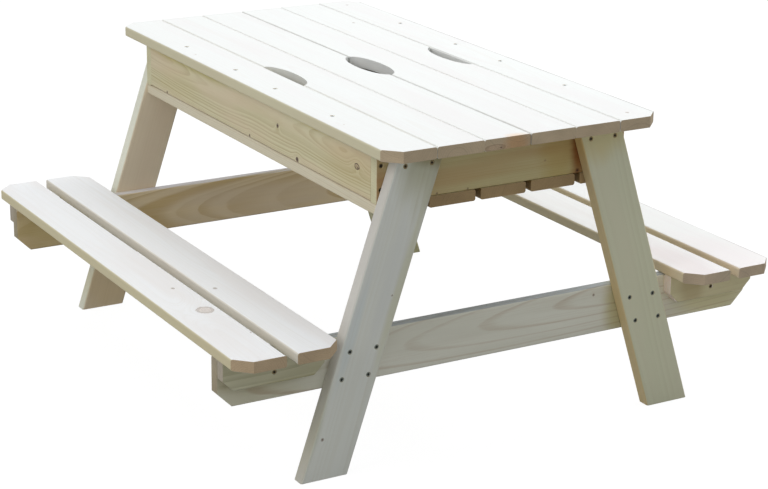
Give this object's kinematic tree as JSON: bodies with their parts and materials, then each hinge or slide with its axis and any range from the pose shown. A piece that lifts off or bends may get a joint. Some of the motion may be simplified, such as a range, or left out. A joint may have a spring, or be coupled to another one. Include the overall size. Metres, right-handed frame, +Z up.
{
  "type": "children's picnic table with sandbox",
  "caption": "Low wooden picnic table for children with benches joined on splayed legs and a slatted sandbox under lift-off lid panels with hand holes",
  "frame": {"origin": "on the floor, under the middle of the table: the centre of the bottom of the bounding box", "axes": "+X runs across the table from the left bench to the right bench, +Y along the boards and the benches away from the camera end, +Z up"},
  "size_m": [1.1326, 1.14, 0.59],
  "materials": {
    "top_boards": "planed unfinished pine, eased edges",
    "seat_boards": "planed unfinished pine, eased edges",
    "sandbox_boards": "planed unfinished pine with marked grain",
    "legs": "planed unfinished pine, eased edges",
    "beams": "planed unfinished pine, eased edges",
    "lid_battens": "planed unfinished pine",
    "screw_steel": "dull plated steel, sunk below the wood"
  },
  "bodies": {
    "stand": {"fixed_top_board_left": "top_boards", "fixed_top_board_right": "top_boards", "side_apron_left": "sandbox_boards", "side_apron_right": "sandbox_boards", "end_apron_near": "sandbox_boards", "end_apron_far": "sandbox_boards", "bottom_slat_1": "sandbox_boards", "bottom_slat_2": "sandbox_boards", "bottom_slat_3": "sandbox_boards", "bottom_slat_4": "sandbox_boards", "bottom_slat_5": "sandbox_boards", "leg_near_left": "legs", "leg_near_right": "legs", "leg_far_left": "legs", "leg_far_right": "legs", "cross_beam_near": "beams", "cross_beam_far": "beams", "seat_cleat_near_left": "beams", "seat_cleat_near_right": "beams", "seat_cleat_far_left": "beams", "seat_cleat_far_right": "beams", "seat_board_left_inner": "seat_boards", "seat_board_left_outer": "seat_boards", "seat_board_right_inner": "seat_boards", "seat_board_right_outer": "seat_boards", "leg_beam_screws": "screw_steel", "leg_head_screws": "screw_steel", "apron_corner_screws": "screw_steel", "top_board_screws": "screw_steel", "seat_cleat_screws": "screw_steel", "seat_board_screws": "screw_steel", "bottom_slat_screws": "screw_steel"},
    "lid_left": {"lid_left_inner_board": "top_boards", "lid_left_outer_board": "top_boards", "lid_left_batten_near": "lid_battens", "lid_left_batten_far": "lid_battens", "lid_left_screws": "screw_steel"},
    "lid_right": {"lid_right_inner_board": "top_boards", "lid_right_outer_board": "top_boards", "lid_right_batten_near": "lid_battens", "lid_right_batten_far": "lid_battens", "lid_right_screws": "screw_steel"}
  },
  "joints": [
    {"name": "lid_left_lift", "type": "slide", "parent": "stand", "child": "lid_left", "axis": [0, 0, 1], "range_m": [0, 0.2]},
    {"name": "lid_right_lift", "type": "slide", "parent": "stand", "child": "lid_right", "axis": [0, 0, 1], "range_m": [0, 0.2]}
  ]
}
